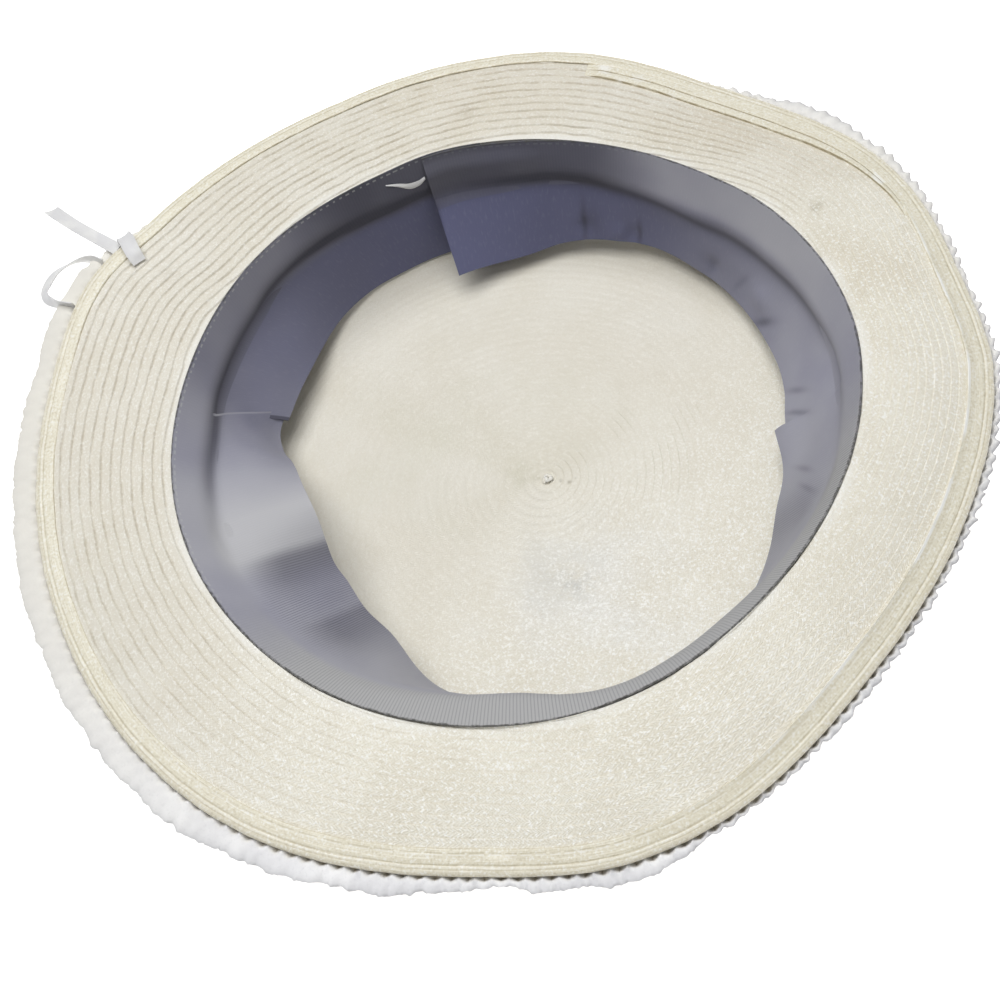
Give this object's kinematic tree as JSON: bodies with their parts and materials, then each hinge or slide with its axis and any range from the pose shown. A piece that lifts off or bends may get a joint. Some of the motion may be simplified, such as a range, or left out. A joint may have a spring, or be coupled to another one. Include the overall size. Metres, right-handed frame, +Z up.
{
  "type": "platter hat",
  "caption": "Shallow flat-tipped straw platter hat lying on its crown, with a loose ribbon sweatband inside, a pleated ruffle under the brim's edge and a narrow ribbon tied through the brim",
  "frame": {"origin": "middle of the flat tip's outer face, where the hat rests upside down", "axes": "+Z up, from the tip to the opening; the hat's front is towards -Y and the sweatband's seam is at +Y"},
  "size_m": [0.2558, 0.2543, 0.0432],
  "materials": {
    "crown_tip": "sewn cellophane and straw braid, cream, glossy grain",
    "crown_side": "sewn cellophane and straw braid, cream, glossy grain",
    "brim": "sewn cellophane and straw braid, cream, glossy grain",
    "edge_binding": "folded straw braid, yellowish, with a beaded edge",
    "sweatband": "grosgrain ribbon, blue-grey, matt with a soft sheen",
    "ruffle": "thin accordion-pleated fabric, white, slightly see-through",
    "bow_loop": "narrow satin ribbon, white",
    "bow_tail": "narrow satin ribbon, white",
    "bow_tie": "narrow satin ribbon, white"
  },
  "bodies": {
    "root": {"crown_tip": "crown_tip", "crown_side": "crown_side", "brim": "brim", "edge_binding": "edge_binding", "sweatband": "sweatband", "ruffle": "ruffle", "bow_loop": "bow_loop", "bow_tail": "bow_tail", "bow_tie": "bow_tie"}
  },
  "joints": []
}
